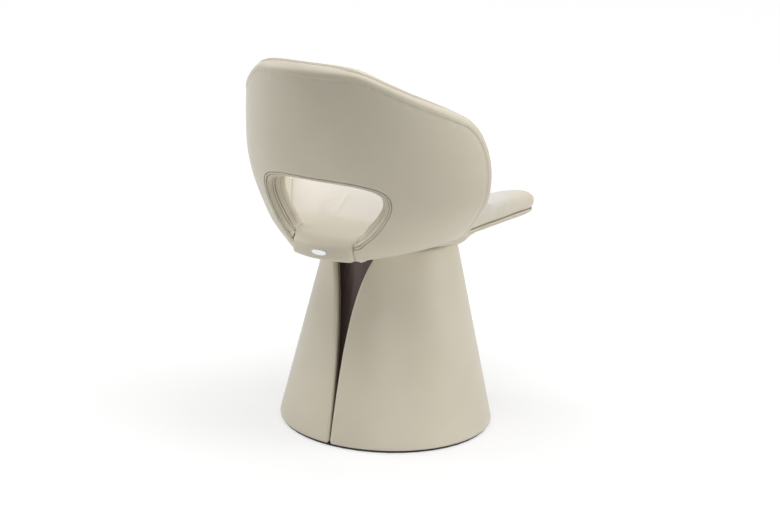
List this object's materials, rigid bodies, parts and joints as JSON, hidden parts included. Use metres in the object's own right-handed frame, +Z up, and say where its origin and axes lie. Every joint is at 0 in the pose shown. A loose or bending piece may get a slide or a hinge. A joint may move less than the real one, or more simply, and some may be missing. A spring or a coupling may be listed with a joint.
{
  "type": "pedestal swivel armchair",
  "caption": "Leather armchair whose horseshoe back with a rear window wraps round a dished seat, swivelling on a closed cone pedestal with a tapering slit.",
  "frame": {"origin": "On the floor, on the swivel axis, in the middle of the cone's foot.", "axes": "+Z up; the sitter faces -Y, the back of the chair is at +Y; +X is the sitter's left."},
  "size_m": [0.5476, 0.6269, 0.793],
  "materials": {
    "leather": "satin",
    "dark_leather": "satin",
    "felt": "matte",
    "black_steel": "satin",
    "steel": "satin",
    "bright_steel": "polished",
    "bronze": "satin",
    "moulded_shell": "matte",
    "plywood": "matte"
  },
  "bodies": {
    "base": {"floor_pad": "felt", "base_plate": "black_steel", "column": "steel", "foot_bolt_1": "steel", "foot_bolt_2": "steel", "foot_bolt_3": "steel", "foot_bolt_4": "steel", "skirt_carrier": "black_steel", "inner_cone": "dark_leather", "skirt_shell": "moulded_shell", "skirt_leather": "leather", "upper_bush": "bronze", "lower_bush": "bronze", "lower_race": "steel"},
    "ball_ring": {"ball_cage": "bronze", "bearing_ball_1": "bright_steel", "bearing_ball_2": "bright_steel", "bearing_ball_3": "bright_steel", "bearing_ball_4": "bright_steel", "bearing_ball_5": "bright_steel", "bearing_ball_6": "bright_steel", "bearing_ball_7": "bright_steel", "bearing_ball_8": "bright_steel", "bearing_ball_9": "bright_steel", "bearing_ball_10": "bright_steel"},
    "seat": {"upper_race": "steel", "spindle": "steel", "retaining_ring": "black_steel", "swivel_plate": "black_steel", "plate_bolt_1": "steel", "plate_bolt_2": "steel", "plate_bolt_3": "steel", "plate_bolt_4": "steel", "seat_board": "plywood", "underside_pad": "leather", "seat_piping": "leather", "seat_cushion": "leather", "back_outer_pad": "leather", "back_core": "moulded_shell", "back_inner_pad": "leather", "back_bolt_1": "steel", "back_bolt_2": "steel", "back_bolt_3": "steel", "back_bolt_4": "steel", "barrel_nut_1": "steel", "barrel_nut_2": "steel", "barrel_nut_3": "steel", "barrel_nut_4": "steel"}
  },
  "joints": [
    {"name": "seat_swivel", "type": "hinge", "parent": "base", "child": "seat", "pos_m": [0, 0, 0.36], "axis": [0, 0, 1], "continuous": true},
    {"name": "ball_ring_spin", "type": "hinge", "parent": "base", "child": "ball_ring", "pos_m": [0, 0, 0.36], "axis": [0, 0, 1], "continuous": true}
  ],
  "couplings": [
    {"joint": "ball_ring_spin", "follows": "seat_swivel", "ratio": 0.5}
  ]
}
